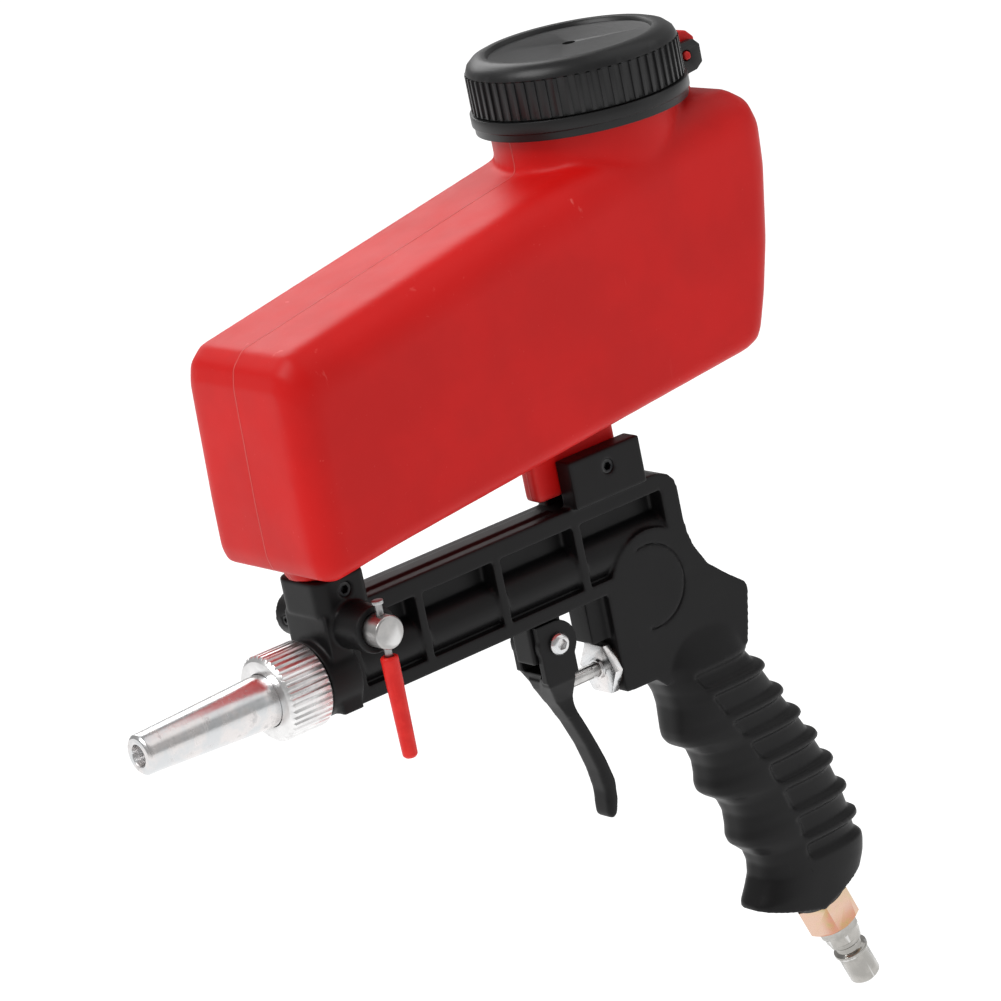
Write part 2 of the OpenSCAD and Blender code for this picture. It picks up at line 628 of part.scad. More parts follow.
module quick_plug() color([0.74, 0.73, 0.71]) on_inlet(bush_d1) {
    n0 = 14;
    difference() {
        union() {
            translate([0, 0, -14]) cylinder(h = 15, r = 6 - thr);
            translate([0, 0, 0.02]) intersection() {
                hexbar(4.7, 14);
                cylinder(h = 4.7, r1 = 9, r2 = 7.5);
            }
            rotate_extrude() polygon([[0, 4.5], [6.5, 4.5], [6.5, 8.4], [6, 8.9], [6, 10.4],
                [5.5, 11], [4.9, 11.4], [4.9, n0 - 0.5], [6.3, n0 + 0.3], [6.4, n0 + 1.2],
                [plug_nose_d/2, n0 + 2.4], [plug_nose_d/2, n0 + 2.4 + plug_nose_len - 0.8],
                [plug_nose_d/2 - 0.8, n0 + 2.4 + plug_nose_len], [0, n0 + 2.4 + plug_nose_len]]);
        }
        translate([0, 0, -20]) cylinder(h = 60, r = 3.6);
    }
}

// ---------------------------------------------------------------- hopper

module hopper_profile(inset) {
    // side outline of the hopper; the rear half follows the neck
    e = nk_x - 217.3;
    f = tower_x - 80;
    offset(delta = -inset) polygon([[61.5 + f, 47], [63 + f, 100], [65.4 + f, 106.6],
        [70 + f, 110.6], [215 + e, 138.3], [250 + e, 142.4], [256 + e, 142.4], [261.6 + e, 140.6],
        [265.8 + e, 136.8], [268.2 + e, 130.4], [267.4 + e, 118], [262.5 + e, 92],
        [257.5 + e, 75], [251.5 + e, 61],
        [246 + e, 56], [90 + f, 40.2], [66 + f, 36.8]]);
}

module hopper_shell(w, r, inset) {
    hull() for (a = [0, 30, 60, 90]) {
        y = w/2 - r + r*sin(a);
        side(-y, y) hopper_profile(inset + r*(1 - cos(a)));
    }
}

module hopper() color([0.82, 0.1, 0.1]) difference() {
    union() {
        hopper_shell(hopper_w, hopper_r, 0);
        translate([nk_x, 0, 120]) cylinder(h = neck_top - 120, r = neck_d/2);
        // outlet spout and its shoulder
        translate([tower_x, 0, tower_top + 0.2]) cylinder(h = 12, r = sh - 0.4);
        translate([tower_x, 0, socket_z + 1.5]) cylinder(h = 20, r = socket_d/2 - 0.2);
        // lug that stands in the clevis
        side(-hopper_lug_t/2, hopper_lug_t/2) polygon([[clevis_x0 - 9, 56], [clevis_x0 - 9, 26.5],
            [clevis_x0 - 8, 25.5], [clevis_x1 - 5, 25.5], [clevis_x1 - 3, 27.5], [clevis_x1 - 3, 60]]);
        // ear behind the cap, with the nub that holds the tether
        side(-2.4, 2.4) translate([nk_x + band_d/2, 0]) polygon([[0.8, 134], [0.8, 156], [2.4, 159.2],
            [6, 160.4], [10.4, 159.6], [13.2, 156.8], [13, 152], [9.4, 147], [7.6, 143],
            [8.6, 139], [10, 134]]);
        ycyl(nk_x + band_d/2 + 6.6, 152, -6, -2, 1.5);
    }
    difference() {
        hopper_shell(hopper_w - 2*hopper_wall, hopper_r - 2, hopper_wall);
        // the floor is thicker round the outlet
        translate([tower_x, 0, 20]) cylinder(h = tower_top + 8.4 - 20, r = sh);
    }
    translate([nk_x, 0, 100]) cylinder(h = 100, r = neck_bore/2);
    translate([tower_x, 0, socket_z]) cylinder(h = 30, r = sand_bore/2 + 1.2);
    ycyl(rscrew_x, rscrew_z, -20, 20, screw_d/2 + 0.1);
}

module outlet_gasket() color([0.1, 0.1, 0.1]) translate([tower_x, 0, socket_z])
    ring(1.48, socket_d/2 - 0.1, sand_bore/2 + 1.2);

// ---------------------------------------------------------------- cap and tether

module hopper_cap() color([0.12, 0.12, 0.13]) translate([nk_x, 0, 0]) {
    r = cap_d/2;
    ri = neck_d/2 + 1.2;
    difference() {
        union() {
            rotate_extrude() polygon([[0, cap_z1 - 3.2], [ri, cap_z1 - 3.2], [ri, cap_z0],
                [r - 0.7, cap_z0], [r - 0.7, cap_z1 - 5.2], [r - 0.3, cap_z1 - 4.8],
                [r - 1.2, cap_z1 - 2.6], [r - 3.2, cap_z1 - 0.8], [r - 5.4, cap_z1],
                [r - 7.6, cap_z1 - 0.1], [r - 8.3, cap_z1 - 0.9], [r - 8.5, cap_z1 - 1.4],
                [0, cap_z1 - 1.4]]);
            for (i = [0:cap_ribs - 1]) rotate([0, 0, i*360/cap_ribs])
                translate([r - 1.2, -0.6, cap_z0 + 0.4]) cube([1.2, 1.2, cap_h - 5.6]);
        }
        translate([0, 0, cap_z1 - 6]) cylinder(h = 8, r = vent_d/2);
    }
}

module cap_gasket() color([0.85, 0.83, 0.78]) translate([nk_x, 0, neck_top + 0.02])
    ring(cap_z1 - 3.2 - neck_top - 0.04, neck_d/2 - 0.1, neck_bore/2 + 0.2);

module cap_tether() color([0.12, 0.12, 0.13]) {
    bx = nk_x + band_d/2;
    difference() {
        union() {
            translate([nk_x, 0, 0]) rotate_extrude() polygon([[neck_d/2 + 0.25, band_z0],
                [band_d/2 - 0.8, band_z0], [band_d/2 - 0.8, band_z0 + 2.4],
                [band_d/2, band_z0 + 2.8], [band_d/2, band_z1], [neck_d/2 + 0.25, band_z1]]);
            // eye that loops over the ear's nub
            side(-5.2, -2.7) translate([bx, 0]) polygon([[-2.2, band_z0], [-2.2, band_z1], [-0.1, band_z1],
                [0.2, 156.2], [10.6, 156.6], [12.8, 154.4], [12.8, 148.4], [10, 146.4]]);
        }
        ycyl(bx + 6.6, 152, -10, 0, 1.9);
    }
}

gun_body();
hopper();
hopper_cap();
cap_gasket();
cap_tether();
outlet_gasket();
hopper_front_screw();
hopper_rear_screw();
sand_valve_spool();
spool_o_rings();
spool_retaining_screw();
lever_rod();
lever_sleeve();
nozzle();
nozzle_seal();
collar_nut();
air_jet();
jet_seal();
trigger();
trigger_pivot_screw();
trigger_pivot_nut();
valve_gland_nut();
gland_washer();
stem_seal();
valve_stem();
valve_poppet();
valve_seat();
valve_spring();
inlet_bush();
inlet_washer();
quick_plug();
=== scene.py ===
"""Visual model of a gravity-feed hand blasting gun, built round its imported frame.

Every piece is in metres in the frame's own place: X runs back along the blast
axis from the nozzle's mouth, Z up towards the hopper's cap.
"""

from __future__ import annotations

import logging
import math
from dataclasses import dataclass
from enum import Enum
from typing import Callable, Iterable, Sequence, Union

import bmesh
import bpy
from mathutils import Matrix, Vector


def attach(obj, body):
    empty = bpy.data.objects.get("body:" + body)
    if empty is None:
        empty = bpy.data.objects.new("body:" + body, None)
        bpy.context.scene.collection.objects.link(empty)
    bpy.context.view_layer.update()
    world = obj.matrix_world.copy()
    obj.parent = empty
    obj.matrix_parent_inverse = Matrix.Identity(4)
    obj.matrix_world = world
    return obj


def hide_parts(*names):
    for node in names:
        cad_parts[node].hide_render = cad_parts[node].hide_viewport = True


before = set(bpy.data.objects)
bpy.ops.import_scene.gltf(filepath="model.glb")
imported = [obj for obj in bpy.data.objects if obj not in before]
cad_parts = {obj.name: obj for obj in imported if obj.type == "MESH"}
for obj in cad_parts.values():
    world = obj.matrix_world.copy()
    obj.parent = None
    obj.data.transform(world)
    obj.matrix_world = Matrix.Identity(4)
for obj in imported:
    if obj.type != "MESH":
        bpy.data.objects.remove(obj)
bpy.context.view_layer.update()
LOG = logging.getLogger("blasting_gun")
MM = 0.001
Colour = tuple[float, float, float, float]
Point = tuple[float, float]


# --------------------------------------------------------------------------- shader maths


class Sock:
    """An output socket of a node, usable in expressions."""

    def __init__(self, shader: "Shader", socket: bpy.types.NodeSocket) -> None:
        """Keeps the socket and the shader it belongs to."""
        self.shader = shader
        self.socket = socket

    def __add__(self, other: "Value") -> "Sock":
        """Sum."""
        return self.shader.math("ADD", self, other)

    __radd__ = __add__

    def __sub__(self, other: "Value") -> "Sock":
        """Difference."""
        return self.shader.math("SUBTRACT", self, other)

    def __rsub__(self, other: "Value") -> "Sock":
        """Difference, the other way round."""
        return self.shader.math("SUBTRACT", other, self)

    def __mul__(self, other: "Value") -> "Sock":
        """Product."""
        return self.shader.math("MULTIPLY", self, other)

    __rmul__ = __mul__

    def __truediv__(self, other: "Value") -> "Sock":
        """Quotient."""
        return self.shader.math("DIVIDE", self, other)

    def __abs__(self) -> "Sock":
        """Size without its sign."""
        return self.shader.math("ABSOLUTE", self)


Value = Union[float, Sock]


class Axis(Enum):
    """The axes a pattern can follow."""

    X = 0
    Y = 1
    Z = 2


class Shader:
    """A material under construction."""

    def __init__(self, name: str) -> None:
        """Starts an empty node tree.

        Args:
            name: Name of the material.
        """
        self.material = bpy.data.materials.new(name)
        self.material.use_nodes = True
        self.tree = self.material.node_tree
        self.tree.nodes.clear()

    def node(
        self,
        kind: str,
        settings: dict[str, object] | None = None,
        inputs: dict[Union[int, str], object] | None = None,
        output: Union[int, str] = 0,
    ) -> Sock:
        """Adds a node.

        Args:
            kind: Type of the node.
            settings: Values of the node itself, set first; "stops" holds a ramp's stops.
            inputs: Numbers, colours or links for its sockets.
            output: Which output to hand back.

        Returns:
            The chosen output.
        """
        made = self.tree.nodes.new(kind)
        for key, value in (settings or {}).items():
            if key == "stops":
                ramp = made.color_ramp
                while len(ramp.elements) < len(value):
                    ramp.elements.new(0.5)
                for element, (place, colour) in zip(ramp.elements, value):
                    element.position, element.color = place, colour
            else:
                setattr(made, key, value)
        for key, value in (inputs or {}).items():
            if isinstance(value, Sock):
                self.tree.links.new(value.socket, made.inputs[key])
            else:
                made.inputs[key].default_value = value
        return Sock(self, made.outputs[output])

    def math(self, operation: str, *terms: Value) -> Sock:
        """One Math node over numbers or links."""
        return self.node("ShaderNodeMath", {"operation": operation}, dict(enumerate(terms)))

    def place(self) -> Sock:
        """The point on the piece, in metres."""
        return self.node("ShaderNodeTexCoord", output="Object")

    def along(self, axis: Axis) -> Sock:
        """How far the point lies along one axis, in metres."""
        return self.node("ShaderNodeSeparateXYZ", inputs={0: self.place()}, output=axis.value)

    def noise(self, size: float, detail: float = 3.0, stretch: Sequence[float] = (1, 1, 1), lean: float = 0.0) -> Sock:
        """Cloudy noise.

        Args:
            size: Width of its spots, in metres.
            detail: Octaves.
            stretch: Factor on the pattern's frequency along each axis.
            lean: Turn of the pattern about Y, in radians.

        Returns:
            A value round one half.
        """
        mapped = self.node(
            "ShaderNodeMapping",
            inputs={"Vector": self.place(), "Rotation": (0.0, lean, 0.0), "Scale": tuple(stretch)},
        )
        return self.node(
            "ShaderNodeTexNoise", inputs={"Vector": mapped, "Scale": 1 / size, "Detail": detail, "Roughness": 0.55}
        )

    def step(self, value: Value, low: float, high: float, bottom: float = 0.0, top: float = 1.0) -> Sock:
        """A soft step from one value to another.

        Args:
            value: What is measured.
            low: Where the step starts.
            high: Where it ends.
            bottom: Result below the step.
            top: Result above it.

        Returns:
            The stepped value.
        """
        return self.node(
            "ShaderNodeMapRange",
            {"interpolation_type": "SMOOTHSTEP"},
            {"Value": value, "From Min": low, "From Max": high, "To Min": bottom, "To Max": top},
        )

    def edges(self, low: float = 0.51, high: float = 0.58) -> Sock:
        """A mask of outward edges."""
        pointed = self.node("ShaderNodeNewGeometry", output="Pointiness")
        return self.step(pointed, low, high)

    def mix(self, share: Value, first: object, second: object) -> Sock:
        """Mixes two colours."""
        return self.node("ShaderNodeMix", {"data_type": "RGBA"}, {0: share, 6: first, 7: second}, output=2)

    def bump(self, height: Sock, depth: float, strength: float = 1.0, under: Sock | None = None) -> Sock:
        """A Bump node, over another if one is given.

        Args:
            height: Height from 0 to 1.
            depth: What a height of 1 stands for, in metres.
            strength: Share of the effect that shows.
            under: The normal it starts from.

        Returns:
            The bumped normal.
        """
        inputs: dict[Union[int, str], object] = {"Height": height, "Distance": depth, "Strength": strength}
        if under is not None:
            inputs["Normal"] = under
        return self.node("ShaderNodeBump", inputs=inputs)

    def close(self, **sockets: object) -> bpy.types.Material:
        """Ends the material with a Principled shader.

        Args:
            **sockets: Socket names with underscores for spaces, and their values.

        Returns:
            The finished material.
        """
        shaded = self.node(
            "ShaderNodeBsdfPrincipled", inputs={key.replace("_", " "): value for key, value in sockets.items()}
        )
        end = self.tree.nodes.new("ShaderNodeOutputMaterial")
        self.tree.links.new(shaded.socket, end.inputs["Surface"])
        return self.material


# --------------------------------------------------------------------------- finishes


@dataclass(frozen=True)
class Plastic:
    """A moulded plastic.

    Fields give its colours, its gloss, the size and depth of its grain in metres,
    the share of scuffs, and whether a mould seam runs round its middle.
    """

    name: str
    slot: str
    colour: Colour
    worn: Colour
    rough: float
    grain: float
    depth: float
    specular: float = 0.5
    scuffs: float = 0.3
    cloud: float = 0.02
    shade: float = 0.85
    seam: bool = False

    def build(self) -> bpy.types.Material:
        """Makes the material."""
        s = Shader(self.name)
        cloud = s.noise(self.cloud, 4)
        dark = tuple(c * self.shade for c in self.colour[:3]) + (1.0,)
        base = s.mix(s.step(cloud, 0.35, 0.65), dark, self.colour)
        specks = s.step(s.noise(self.grain * 3, 2), 0.70, 0.80)
        scratch = s.step(s.noise(0.004, 5, (1, 1, 0.12), 0.5), 0.66, 0.74) * s.step(s.noise(0.03, 2), 0.5, 0.65)
        wear = s.math("MAXIMUM", s.math("MAXIMUM", specks * 0.35, scratch), s.edges() * 0.6) * self.scuffs
        base = s.mix(wear, base, self.worn)
        rough = self.rough + 0.16 * (s.noise(0.012, 4) - 0.5) + 0.15 * wear
        normal = s.bump(s.noise(self.grain, 3), self.depth)
        normal = s.bump(s.noise(self.cloud * 0.6, 2), self.depth * 9, 0.5, normal)
        if self.seam:
            ridge = s.step(abs(s.along(Axis.Y) + 0.0004 * (s.noise(0.02, 2) - 0.5)), 0.12 * MM, 0.42 * MM, 1.0, 0.0)
            base = s.mix(ridge * 0.35, base, self.worn)
            normal = s.bump(ridge, 0.35 * MM, 0.9, normal)
        return s.close(
            Base_Color=base, Roughness=rough, Normal=normal, Specular_IOR_Level=self.specular, Metallic=0.0
        )


@dataclass(frozen=True)
class Metal:
    """A turned or plated metal.

    Fields give its colour and tint, its gloss, the axis its tool marks ring round,
    their pitch in metres, and how far that axis leans about Y in radians.
    """

    name: str
    slot: str
    colour: Colour
    tint: Colour
    rough: float
    axis: Axis = Axis.X
    pitch: float = 0.4 * MM
    depth: float = 0.012 * MM
    lean: float = 0.0
    stains: float = 0.3

    def build(self) -> bpy.types.Material:
        """Makes the material."""
        s = Shader(self.name)
        base = s.mix(s.step(s.noise(0.007, 4), 0.4, 0.62), self.colour, self.tint)
        stain = s.step(s.noise(0.0035, 5), 0.56, 0.75) * self.stains
        dull = tuple(c * 0.62 for c in self.colour[:3]) + (1.0,)
        base = s.mix(stain, base, dull)
        base = s.mix(s.edges(0.52, 0.6) * 0.4, base, (0.95, 0.95, 0.95, 1))
        stretch = [0.02, 0.02, 0.02]
        stretch[self.axis.value] = 1.0
        rings = s.noise(self.pitch, 3, stretch, self.lean)
        rough = self.rough + 0.14 * (s.noise(0.002, 4) - 0.5) + 0.12 * (rings - 0.5) + 0.2 * stain
        normal = s.bump(rings, self.depth)
        normal = s.bump(s.noise(0.0006, 2), self.depth * 0.8, 0.7, normal)
        return s.close(Base_Color=base, Roughness=rough, Metallic=1.0, Normal=normal)


@dataclass(frozen=True)
class RainbowZinc:
    """Yellow passivated zinc plate, which shifts between gold, rose and green."""

    name: str
    slot: str
    rough: float = 0.24

    def build(self) -> bpy.types.Material:
        """Makes the material."""
        s = Shader(self.name)
        drift = s.noise(0.009, 3)
        stops = [
            (0.30, (0.30, 0.33, 0.14, 1)),
            (0.43, (0.50, 0.31, 0.15, 1)),
            (0.52, (0.56, 0.27, 0.18, 1)),
            (0.62, (0.54, 0.29, 0.23, 1)),
            (0.75, (0.37, 0.39, 0.17, 1)),
        ]
        base = s.node("ShaderNodeValToRGB", {"stops": stops}, {"Fac": drift})
        base = s.mix(s.edges(0.52, 0.6) * 0.4, base, (0.85, 0.76, 0.62, 1))
        rough = self.rough + 0.2 * (s.noise(0.002, 4) - 0.5)
        normal = s.bump(s.noise(0.0005, 3), 0.012 * MM)
        return s.close(Base_Color=base, Roughness=rough, Metallic=1.0, Normal=normal)


@dataclass(frozen=True)
class Soft:
    """Rubber, foam or dipped vinyl."""

    name: str
    slot: str
    colour: Colour
    light: Colour
    rough: float
    grain: float
    depth: float
    coat: float = 0.0
    specular: float = 0.5

    def build(self) -> bpy.types.Material:
        """Makes the material."""
        s = Shader(self.name)
        base = s.mix(s.step(s.noise(0.005, 4), 0.4, 0.7), self.colour, self.light)
        base = s.mix(s.edges() * 0.3, base, self.light)
        rough = self.rough + 0.2 * (s.noise(0.003, 3) - 0.5)
        normal = s.bump(s.noise(self.grain, 3), self.depth)
        return s.close(
            Base_Color=base, Roughness=rough, Normal=normal, Specular_IOR_Level=self.specular,
            Coat_Weight=self.coat, Coat_Roughness=0.2,
        )


INLET_LEAN = math.radians(21.0)
NYLON = Plastic(
    "black_nylon", "black_nylon", (0.0056, 0.0054, 0.0058, 1), (0.045, 0.045, 0.047, 1), 0.44, 0.35 * MM, 0.02 * MM,
    specular=0.2, scuffs=0.4, cloud=0.03,
)
CAP_BLACK = Plastic(
    "black_plastic", "black_plastic", (0.008, 0.008, 0.0083, 1), (0.05, 0.05, 0.052, 1), 0.36, 0.5 * MM, 0.012 * MM,
    specular=0.3, scuffs=0.3, cloud=0.02,
)
RED = Plastic(
    "red_plastic", "red_plastic", (0.60, 0.006, 0.005, 1), (0.84, 0.2, 0.18, 1), 0.44, 0.45 * MM, 0.022 * MM,
    specular=0.2, scuffs=0.42, cloud=0.035, shade=0.9, seam=True,
)
ZINC = Metal("zinc_steel", "zinc_steel", (0.63, 0.64, 0.65, 1), (0.72, 0.69, 0.68, 1), 0.24, Axis.X, stains=0.5)
ALUMINIUM = Metal(
    "bright_aluminium", "bright_aluminium", (0.78, 0.775, 0.77, 1), (0.70, 0.69, 0.69, 1), 0.30, Axis.X, 0.3 * MM,
)
STEEL = Metal("steel", "steel", (0.38, 0.375, 0.37, 1), (0.45, 0.44, 0.43, 1), 0.34, Axis.Y, 0.3 * MM)
STEEL_X = Metal("steel_x", "steel", (0.56, 0.55, 0.54, 1), (0.48, 0.47, 0.46, 1), 0.28, Axis.X, 0.3 * MM)
STEEL_Z = Metal("steel_z", "steel", (0.26, 0.26, 0.26, 1), (0.40, 0.40, 0.40, 1), 0.34, Axis.Z, 0.3 * MM)
DARK_SCREW = Metal(
    "dark_screw", "dark_screw", (0.02, 0.02, 0.022, 1), (0.04, 0.04, 0.04, 1), 0.42, Axis.Y, 0.3 * MM,
)
BRASS = Metal("brass", "brass", (0.78, 0.58, 0.26, 1), (0.70, 0.48, 0.20, 1), 0.26, Axis.X, 0.3 * MM)
COPPER = Metal("copper", "copper", (0.80, 0.42, 0.26, 1), (0.66, 0.32, 0.20, 1), 0.34, Axis.X, 0.3 * MM)
NICKEL = Metal(
    "nickel", "nickel", (0.34, 0.33, 0.31, 1), (0.44, 0.425, 0.40, 1), 0.17, Axis.Z, 0.35 * MM, lean=INLET_LEAN,
)
RAINBOW = RainbowZinc("gold_zinc", "gold_zinc")
RUBBER = Soft("rubber", "rubber", (0.012, 0.012, 0.012, 1), (0.03, 0.03, 0.03, 1), 0.6, 0.3 * MM, 0.02 * MM)
FOAM = Soft("foam", "foam", (0.75, 0.72, 0.64, 1), (0.82, 0.8, 0.74, 1), 0.85, 0.6 * MM, 0.08 * MM)
VINYL = Soft(
    "red_vinyl", "red_vinyl", (0.66, 0.010, 0.007, 1), (0.74, 0.020, 0.014, 1), 0.38, 0.9 * MM, 0.01 * MM, coat=0.06,
    specular=0.25,
)


# --------------------------------------------------------------------------- mesh tools


def cad_copy(node: str) -> bmesh.types.BMesh:
    """Copies a CAD node's mesh and joins its loose triangles.

    Args:
        node: Name of the CAD node.

    Returns:
        A new mesh with one vertex per corner.
    """
    bm = bmesh.new()
    bm.from_mesh(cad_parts[node].data)
    bmesh.ops.remove_doubles(bm, verts=bm.verts, dist=1e-6)
    return bm


def as_object(name: str, bm: bmesh.types.BMesh) -> bpy.types.Object:
    """Puts a mesh into the scene as an object at the origin."""
    mesh = bpy.data.meshes.new(name)
    bm.to_mesh(mesh)
    bm.free()
    obj = bpy.data.objects.new(name, mesh)
    bpy.context.scene.collection.objects.link(obj)
    return obj


def settle(obj: bpy.types.Object) -> bpy.types.Object:
    """Makes an object's modifiers part of its mesh."""
    depsgraph = bpy.context.evaluated_depsgraph_get()
    mesh = bpy.data.meshes.new_from_object(obj.evaluated_get(depsgraph))
    obj.modifiers.clear()
    obj.data = mesh
    return obj


def smooth_shade(obj: bpy.types.Object, angle: float) -> None:
    """Shades an object smooth, apart from edges sharper than an angle in degrees."""
    for face in obj.data.polygons:
        face.use_smooth = True
    if angle < 180:
        obj.data.set_sharp_from_angle(angle=math.radians(angle))


def dress(
    obj: bpy.types.Object, body: str, finish: "Finish", replaced: Iterable[str] = ()
) -> bpy.types.Object:
    """Gives a piece its material and the body it rides on.

    Args:
        obj: The piece.
        body: Name of the CAD body.
        finish: Its finish.
        replaced: The CAD nodes that it stands for.

    Returns:
        The piece.
    """
    obj.data.materials.clear()
    obj.data.materials.append(MATERIALS.of(finish))
    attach(obj, body)
    if replaced:
        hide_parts(*replaced)
    LOG.info("%s: %d faces on %s", obj.name, len(obj.data.polygons), body)
    return obj


Finish = Union[Plastic, Metal, RainbowZinc, Soft]


class Materials:
    """Keeps one material for each finish."""

    def __init__(self) -> None:
        """Starts with none."""
        self._made: dict[str, bpy.types.Material] = {}

    def of(self, finish: Finish) -> bpy.types.Material:
        """The material of a finish, made on its first use."""
        if finish.name not in self._made:
            self._made[finish.name] = finish.build()
        return self._made[finish.name]


MATERIALS = Materials()


def machined(node: str, body: str, finish: Finish, bevel: float, angle: float = 32.0) -> bpy.types.Object:
    """A crisp CAD node with its sharp edges broken.

    Args:
        node: Name of the CAD node.
        body: Body it rides on.
        finish: Its finish.
        bevel: Width of the broken edges, in metres.
        angle: Edges sharper than this are broken, in degrees.

    Returns:
        The finished piece.
    """
    bm = cad_copy(node)
    bmesh.ops.dissolve_limit(bm, angle_limit=math.radians(0.1), verts=bm.verts, edges=bm.edges)
    obj = as_object(node + "_piece", bm)
    modifier = obj.modifiers.new("broken_edges", "BEVEL")
    modifier.width = bevel
    modifier.segments = 2
    modifier.limit_method = "ANGLE"
    modifier.angle_limit = math.radians(angle)
    modifier.use_clamp_overlap = True
    modifier.miter_outer = "MITER_ARC"
    settle(obj)
    smooth_shade(obj, 40)
    return dress(obj, body, finish, [node])


def melted(name: str, bm: bmesh.types.BMesh, voxel: float, rounds: int, keep: float = 1.0) -> bpy.types.Object:
    """Joins overlapping solids into one skin and softens its corners, as a mould does.

    Args:
        name: Name of the piece.
        bm: The solids, which may overlap.
        voxel: Fineness of the skin, in metres.
        rounds: Rounds of softening.
        keep: Share of the faces to keep.

    Returns:
        The joined piece.
    """
    obj = as_object(name, bm)
    skin = obj.modifiers.new("skin", "REMESH")
    skin.mode = "VOXEL"
    skin.voxel_size = voxel
    skin.adaptivity = 0.0
    soften = obj.modifiers.new("soften", "SMOOTH")
    soften.factor = 0.5
    soften.iterations = rounds
    if keep < 1:
        thin = obj.modifiers.new("thin", "DECIMATE")
        thin.ratio = keep
    settle(obj)
    smooth_shade(obj, 180)
    return obj


def extruded(outline: Sequence[Point], low: float, high: float) -> bmesh.types.BMesh:
    """A solid with one outline in the side view.

    Args:
        outline: Corners (x, z) in millimetres.
        low: Y of its near side, in millimetres.
        high: Y of its far side, in millimetres.

    Returns:
        The closed solid.
    """
    bm = bmesh.new()
    corners = [bm.verts.new((x * MM, low * MM, z * MM)) for x, z in outline]
    face = bm.faces.new(corners)
    grown = bmesh.ops.extrude_face_region(bm, geom=[face])
    moved = [v for v in grown["geom"] if isinstance(v, bmesh.types.BMVert)]
    bmesh.ops.translate(bm, verts=moved, vec=(0, (high - low) * MM, 0))
    bmesh.ops.recalc_face_normals(bm, faces=bm.faces)
    return bm


def rod(
    bm: bmesh.types.BMesh, start: Vector, end: Vector, radius: float, end_radius: float | None = None, sides: int = 64
) -> None:
    """Adds a closed cylinder or cone between two points, all in millimetres."""
    way = end - start
    turn = Vector((0, 0, 1)).rotation_difference(way.normalized()).to_matrix().to_4x4()
    bmesh.ops.create_cone(
        bm,
        cap_ends=True,
        segments=sides,
        radius1=radius * MM,
        radius2=(radius if end_radius is None else end_radius) * MM,
        depth=way.length * MM,
        matrix=Matrix.Translation((start + end) / 2 * MM) @ turn,
    )


def add_to(bm: bmesh.types.BMesh, other: bmesh.types.BMesh) -> None:
    """Adds one mesh to another and frees it."""
    mesh = bpy.data.meshes.new("joining")
    other.to_mesh(mesh)
    other.free()
    bm.from_mesh(mesh)
    bpy.data.meshes.remove(mesh)


def cut(obj: bpy.types.Object, tool: bmesh.types.BMesh) -> None:
    """Cuts a closed tool out of an object."""
    cutter = as_object("cutter", tool)
    modifier = obj.modifiers.new("cut", "BOOLEAN")
    modifier.operation = "DIFFERENCE"
    modifier.solver = "EXACT"
    modifier.object = cutter
    settle(obj)
    bpy.data.objects.remove(cutter)


def between(table: Sequence[Point], height: float) -> float:
    """Reads a value from a table of (height, value), falling heights first, in straight steps."""
    if height >= table[0][0]:
        return table[0][1]
    for (high, above), (low, below) in zip(table, table[1:]):
        if height >= low:
            share = (high - height) / (high - low)
            return above + (below - above) * share
    return table[-1][1]


def eased(value: float, low: float, high: float) -> float:
    """A soft step from 0 to 1 between two values."""
    share = min(1.0, max(0.0, (value - low) / (high - low)))
    return share * share * (3 - 2 * share)


# --------------------------------------------------------------------------- sub-assemblies


